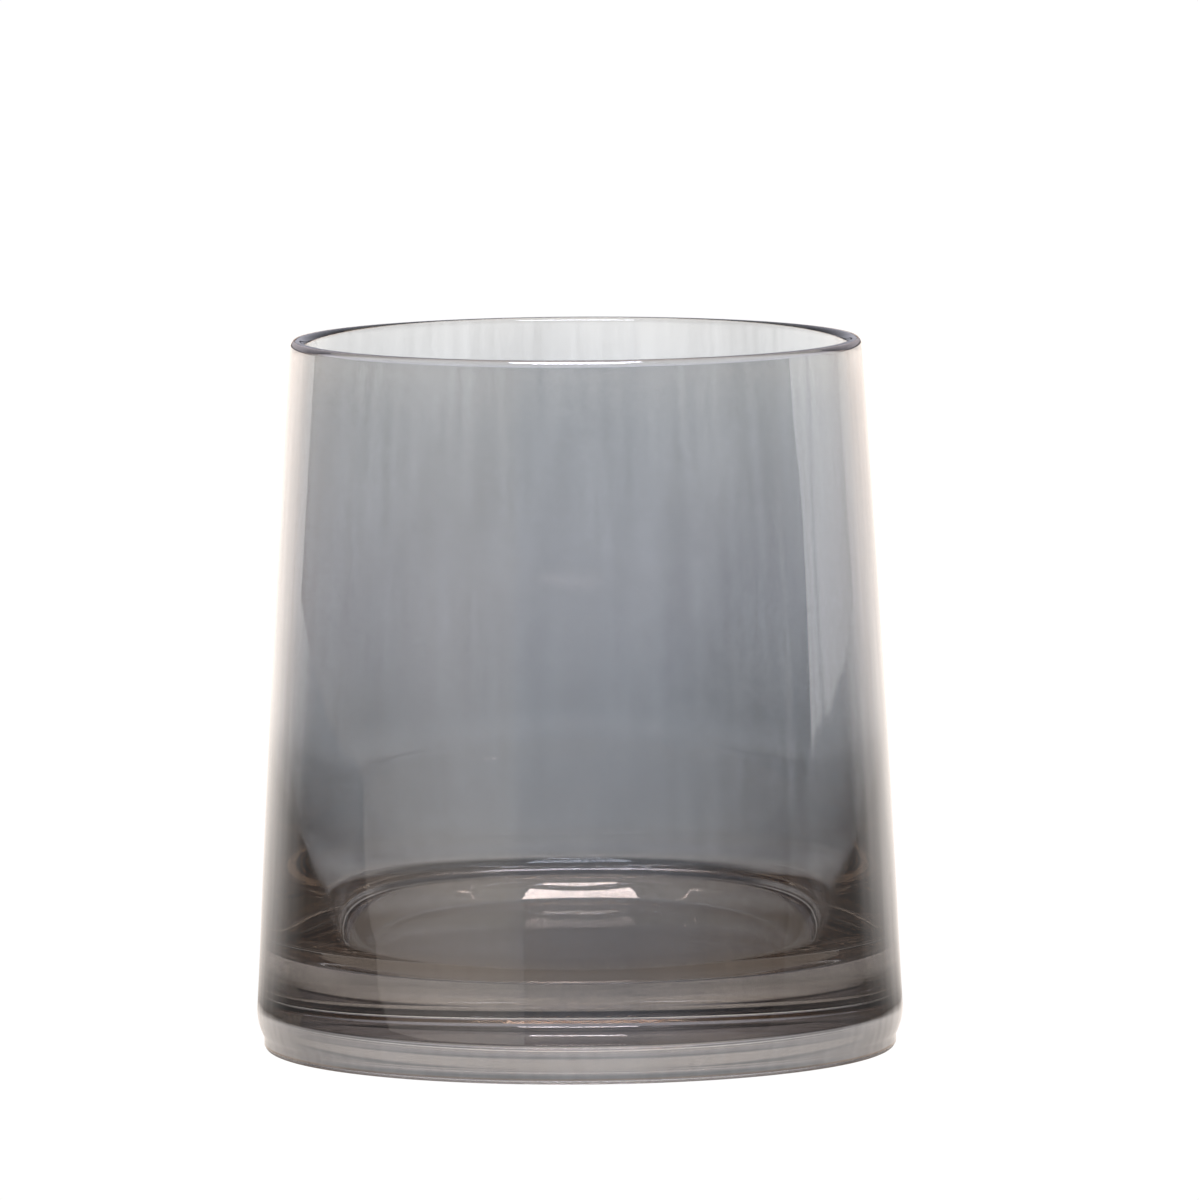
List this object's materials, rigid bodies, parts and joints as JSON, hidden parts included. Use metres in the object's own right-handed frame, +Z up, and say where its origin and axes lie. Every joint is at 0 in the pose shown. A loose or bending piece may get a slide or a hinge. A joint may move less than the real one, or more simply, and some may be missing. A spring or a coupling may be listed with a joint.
{
  "type": "whiskey tumbler",
  "caption": "Tapered whiskey tumbler with a thick solid clear-glass base, a thin wall and a smoke-grey metallic film over its outside.",
  "frame": {"origin": "on the axis of revolution, at the centre of the flat ring that the glass stands on", "axes": "+Z up along the axis of revolution, from the base to the rim; the glass is the same all round, so +X and +Y are any two square directions"},
  "size_m": [0.0864, 0.0864, 0.095],
  "materials": {
    "clear_glass": "clear polished soda-lime glass",
    "smoke_film": "smoke-grey semi-mirror lustre, glossy"
  },
  "bodies": {
    "root": {"glass_vessel": "clear_glass", "smoke_film": "smoke_film"}
  },
  "joints": []
}
